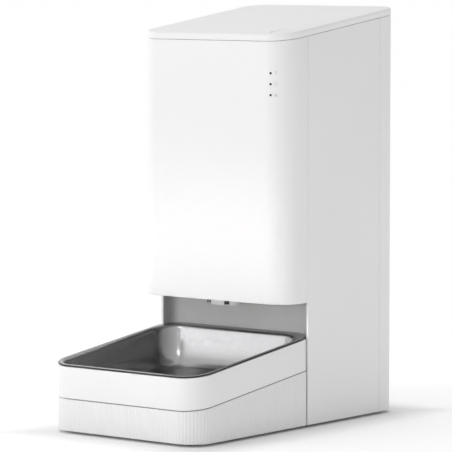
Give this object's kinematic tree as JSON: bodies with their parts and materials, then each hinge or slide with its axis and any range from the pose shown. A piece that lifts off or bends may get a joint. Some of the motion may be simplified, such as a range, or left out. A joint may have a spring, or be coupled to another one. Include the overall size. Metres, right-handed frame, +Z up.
{
  "type": "automatic pet feeder",
  "caption": "Automatic pet feeder: tower with hopper, hinged lid and dosing rotor over an inclined steel bowl in a lift-off tray.",
  "frame": {"origin": "on the floor under the middle of the whole feeder, hinge barrels included", "axes": "+Z up, the feeder faces -Y, +X to the right seen from its front"},
  "size_m": [0.168, 0.2992, 0.3709],
  "materials": {
    "white_plastic": "satin, very fine texture",
    "ribbed_plastic": "satin with fine upright ribs",
    "stainless_steel": "satin, drawn sheet",
    "dark_rubber": "matt",
    "grey_silicone": "matt",
    "smoke_bin": "gloss",
    "gear_plastic": "satin",
    "black_plastic": "gloss",
    "circuit_board": "satin",
    "battery_sleeve": "gloss"
  },
  "bodies": {
    "feeder": {"front_shell": "white_plastic", "shell_floor": "white_plastic", "side_panel_left": "white_plastic", "side_panel_right": "white_plastic", "rear_cover": "white_plastic", "base_plate": "white_plastic", "hinge_bracket_left": "white_plastic", "hinge_bracket_right": "white_plastic", "rotor_housing": "white_plastic", "dosing_baffle": "white_plastic", "chute": "white_plastic", "outlet_nozzle": "white_plastic", "recess_wall": "ribbed_plastic", "tray_base": "ribbed_plastic", "hinge_pin_left": "stainless_steel", "hinge_pin_right": "stainless_steel", "base_screw_1": "stainless_steel", "base_screw_2": "stainless_steel", "base_screw_3": "stainless_steel", "base_screw_4": "stainless_steel", "idler_axle": "stainless_steel", "motor": "stainless_steel", "foot_front_left": "dark_rubber", "foot_front_right": "dark_rubber", "foot_rear_left": "dark_rubber", "foot_rear_right": "dark_rubber", "hopper": "smoke_bin", "gear_plate": "black_plastic", "outlet_sensor": "black_plastic", "light_top": "black_plastic", "light_middle": "black_plastic", "light_bottom": "black_plastic", "battery_bay": "black_plastic", "dc_socket": "black_plastic", "light_board": "circuit_board", "main_board": "circuit_board", "battery_1": "battery_sleeve", "battery_2": "battery_sleeve", "battery_3": "battery_sleeve"},
    "lid": {"lid_cover": "white_plastic", "lid_liner": "white_plastic", "lid_gasket": "grey_silicone"},
    "lid_button": {"lid_button": "white_plastic"},
    "lid_latch": {"lid_latch": "gear_plastic"},
    "desiccant": {"desiccant_holder": "grey_silicone"},
    "tray": {"tray_ring": "white_plastic"},
    "bowl": {"bowl": "stainless_steel"},
    "rotor": {"rotor": "gear_plastic", "agitator": "grey_silicone", "rotor_shaft": "stainless_steel", "drive_gear": "gear_plastic"},
    "idler": {"idler_gear": "gear_plastic"},
    "pinion": {"motor_pinion": "gear_plastic"},
    "battery_door": {"battery_door": "white_plastic"}
  },
  "joints": [
    {"name": "lid_hinge", "type": "hinge", "parent": "feeder", "child": "lid", "pos_m": [0, 0.14705, 0.36817], "axis": [-1, 0, 0], "range_deg": [0, 95]},
    {"name": "button_press", "type": "slide", "parent": "lid", "child": "lid_button", "axis": [0, 0.1305, -0.9914], "range_m": [0, 0.0015], "stiffness_N_per_m": 400, "springref_m": -0.0005},
    {"name": "latch_slide", "type": "slide", "parent": "lid", "child": "lid_latch", "axis": [0, 1, 0], "range_m": [0, 0.002]},
    {"name": "desiccant_release", "type": "slide", "parent": "lid", "child": "desiccant", "axis": [0, 0.1305, -0.9914], "range_m": [0, 0.01]},
    {"name": "tray_lift", "type": "slide", "parent": "feeder", "child": "tray", "axis": [0, -0.1305, 0.9914], "range_m": [0, 0.012]},
    {"name": "bowl_lift", "type": "slide", "parent": "tray", "child": "bowl", "axis": [0, -0.1305, 0.9914], "range_m": [0, 0.012]},
    {"name": "rotor_spin", "type": "hinge", "parent": "feeder", "child": "rotor", "pos_m": [0, 0.05675, 0.16], "axis": [0, 0, 1], "continuous": true},
    {"name": "idler_spin", "type": "hinge", "parent": "feeder", "child": "idler", "pos_m": [-0.02507, 0.08663, 0.127], "axis": [0, 0, 1], "continuous": true},
    {"name": "pinion_spin", "type": "hinge", "parent": "feeder", "child": "pinion", "pos_m": [-0.02872, 0.10731, 0.127], "axis": [0, 0, 1], "continuous": true},
    {"name": "battery_door_pull", "type": "slide", "parent": "feeder", "child": "battery_door", "axis": [0, 1, 0], "range_m": [0, 0.03]}
  ],
  "couplings": [
    {"joint": "idler_spin", "follows": "rotor_spin", "ratio": -1.6},
    {"joint": "pinion_spin", "follows": "rotor_spin", "ratio": 4},
    {"joint": "latch_slide", "follows": "button_press", "ratio": 1.3333}
  ]
}
